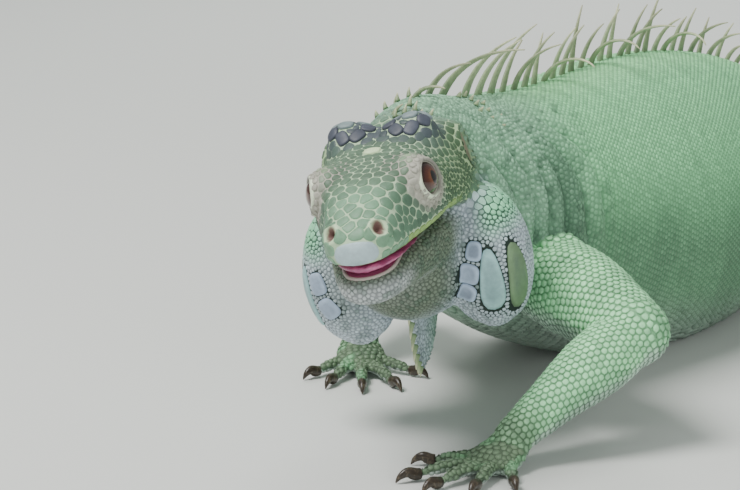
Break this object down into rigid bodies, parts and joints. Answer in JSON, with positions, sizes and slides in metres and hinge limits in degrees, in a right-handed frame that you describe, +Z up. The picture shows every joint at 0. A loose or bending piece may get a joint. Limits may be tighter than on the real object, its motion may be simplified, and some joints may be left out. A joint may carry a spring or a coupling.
{
  "type": "green iguana model",
  "caption": "Life-size still model of an adult male green iguana lying on its belly with its head turned, a spined crest, swollen jowls, clawed feet and a long tail; for display.",
  "frame": {"origin": "On the floor plane under the middle of the belly, where the belly rests.", "axes": "+Z is up from the floor; -Y is the way that the trunk faces, so the tail runs to +Y; +X is the animal's left."},
  "size_m": [0.2741, 1.1906, 0.1414],
  "materials": {
    "skin": "matt, scaly",
    "head_skin": "matt, plated with scales",
    "eye": "wet gloss",
    "eardrum": "satin",
    "mouth": "moist",
    "claw": "horn, satin"
  },
  "bodies": {
    "root": {"claw_fore_left_1": "claw", "claw_fore_left_2": "claw", "claw_fore_left_3": "claw", "claw_fore_left_4": "claw", "claw_fore_left_5": "claw", "claw_fore_right_1": "claw", "claw_fore_right_2": "claw", "claw_fore_right_3": "claw", "claw_fore_right_4": "claw", "claw_fore_right_5": "claw", "claw_hind_left_1": "claw", "claw_hind_left_2": "claw", "claw_hind_left_3": "claw", "claw_hind_left_4": "claw", "claw_hind_left_5": "claw", "claw_hind_right_1": "claw", "claw_hind_right_2": "claw", "claw_hind_right_3": "claw", "claw_hind_right_4": "claw", "claw_hind_right_5": "claw", "eardrum_left": "eardrum", "eardrum_right": "eardrum", "eye_left": "eye", "eye_right": "eye", "foot_left": "skin", "foot_right": "skin", "forearm_left": "skin", "forearm_right": "skin", "hand_left": "skin", "hand_right": "skin", "head": "head_skin", "lower_jaw": "head_skin", "neck": "skin", "shank_left": "skin", "shank_right": "skin", "tail_base": "skin", "tail_end": "skin", "tail_middle": "skin", "tail_tip": "skin", "thigh_left": "skin", "thigh_right": "skin", "tongue": "mouth", "trunk": "skin", "upper_arm_left": "skin", "upper_arm_right": "skin"}
  },
  "joints": []
}
